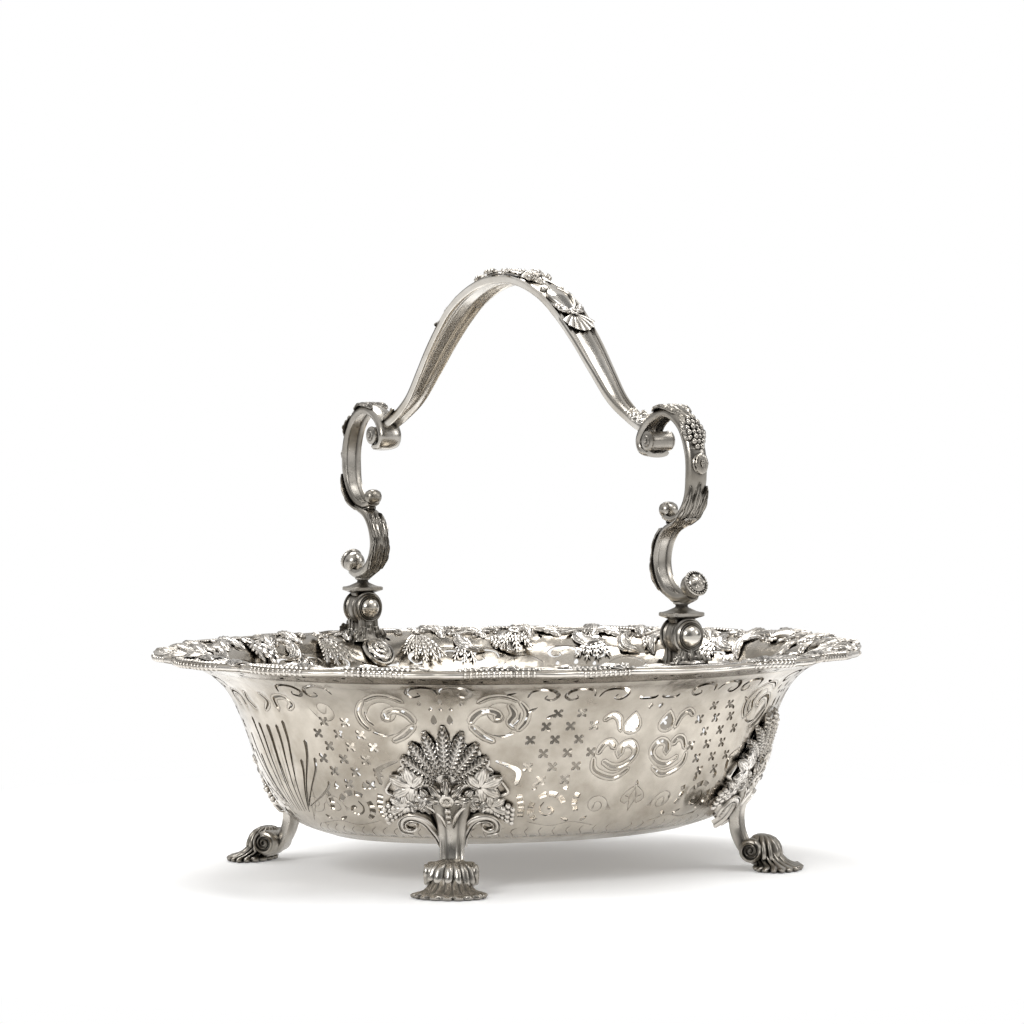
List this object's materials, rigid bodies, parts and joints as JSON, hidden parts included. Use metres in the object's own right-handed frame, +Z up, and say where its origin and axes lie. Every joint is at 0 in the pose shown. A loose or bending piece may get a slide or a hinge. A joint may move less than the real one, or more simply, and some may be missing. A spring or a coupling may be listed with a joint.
{
  "type": "swing-handled bread basket",
  "caption": "Oval silver bread basket with a pierced bowl, a cast openwork border, scroll feet and a swing handle on knuckle hinges.",
  "frame": {"origin": "middle of the oval at the table, under the feet", "axes": "+X along the oval's long axis, +Y along the short axis through both hinges, +Z up; the handle stands upright"},
  "size_m": [0.3564, 0.3064, 0.2896],
  "materials": {
    "rolled_sheet": "polished silver sheet, soft wear",
    "cast_silver": "cast and chased silver, dark in the hollows",
    "worn_silver": "silver rubbed bright at the joints"
  },
  "bodies": {
    "basket": {"pierced_bowl": "rolled_sheet", "border_front": "cast_silver", "border_back": "cast_silver", "border_left": "cast_silver", "border_right": "cast_silver", "end_shell_left": "cast_silver", "end_shell_right": "cast_silver", "foot_front_left": "cast_silver", "plaque_front_left": "cast_silver", "hinge_spray_front_left": "cast_silver", "side_spray_front_left": "cast_silver", "foot_front_right": "cast_silver", "plaque_front_right": "cast_silver", "hinge_spray_front_right": "cast_silver", "side_spray_front_right": "cast_silver", "foot_back_left": "cast_silver", "plaque_back_left": "cast_silver", "hinge_spray_back_left": "cast_silver", "side_spray_back_left": "cast_silver", "foot_back_right": "cast_silver", "plaque_back_right": "cast_silver", "hinge_spray_back_right": "cast_silver", "side_spray_back_right": "cast_silver", "hinge_roundel_front": "cast_silver", "hinge_ear_inner_front": "cast_silver", "hinge_ear_outer_front": "cast_silver", "hinge_pin_front": "worn_silver", "hinge_roundel_back": "cast_silver", "hinge_ear_inner_back": "cast_silver", "hinge_ear_outer_back": "cast_silver", "hinge_pin_back": "worn_silver"},
    "handle": {"hinge_knuckle_front": "worn_silver", "lower_scroll_front": "cast_silver", "upper_scroll_front": "cast_silver", "grape_bunch_front": "cast_silver", "arch_shell_front": "cast_silver", "hinge_knuckle_back": "worn_silver", "lower_scroll_back": "cast_silver", "upper_scroll_back": "cast_silver", "grape_bunch_back": "cast_silver", "arch_shell_back": "cast_silver", "handle_arch": "cast_silver", "arch_crown": "cast_silver"}
  },
  "joints": [
    {"name": "handle_swing", "type": "hinge", "parent": "basket", "child": "handle", "pos_m": [0, 0, 0.1174], "axis": [0, 1, 0], "range_deg": [-88, 88]}
  ]
}
